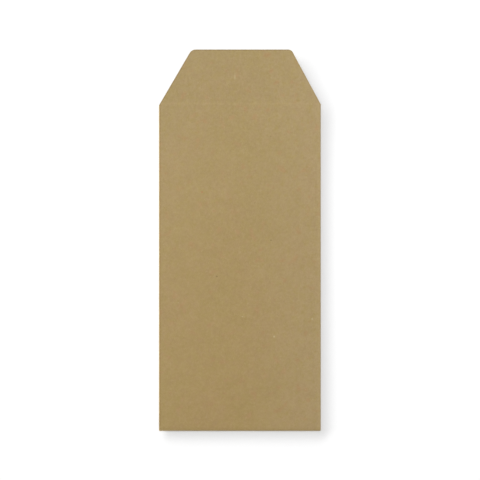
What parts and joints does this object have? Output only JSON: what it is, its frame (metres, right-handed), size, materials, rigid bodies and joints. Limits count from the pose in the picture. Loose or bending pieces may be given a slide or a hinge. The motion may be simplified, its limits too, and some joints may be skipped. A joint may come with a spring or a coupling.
{
  "type": "manila envelope",
  "caption": "Manila paper pocket envelope, flat pocket with a tapered gummed flap on its short side that folds from open to shut.",
  "frame": {"origin": "under the middle of the outline with the flap open, on the surface that the envelope lies on", "axes": "+Y along the pocket from the bottom fold to the closing flap, +X across it to the right seen from the address side, +Z out of the address side"},
  "size_m": [0.11, 0.2594, 0.0015],
  "materials": {
    "manila_paper": "matte",
    "dried_glue": "satin",
    "dried_gum": "gloss"
  },
  "bodies": {
    "pocket": {"front_panel": "manila_paper", "left_side_fold": "manila_paper", "right_side_fold": "manila_paper", "left_back_panel": "manila_paper", "right_back_panel": "manila_paper", "seam_glue": "dried_glue", "bottom_fold": "manila_paper", "bottom_flap": "manila_paper", "bottom_flap_glue": "dried_glue", "flap_crease": "manila_paper"},
    "closing_flap": {"seal_flap": "manila_paper", "flap_gum": "dried_gum"}
  },
  "joints": [
    {"name": "flap_fold", "type": "hinge", "parent": "pocket", "child": "closing_flap", "pos_m": [0, 0.0929, 0.00072], "axis": [-1, 0, 0], "range_deg": [0, 180], "deforming": ["flap_crease"]}
  ]
}
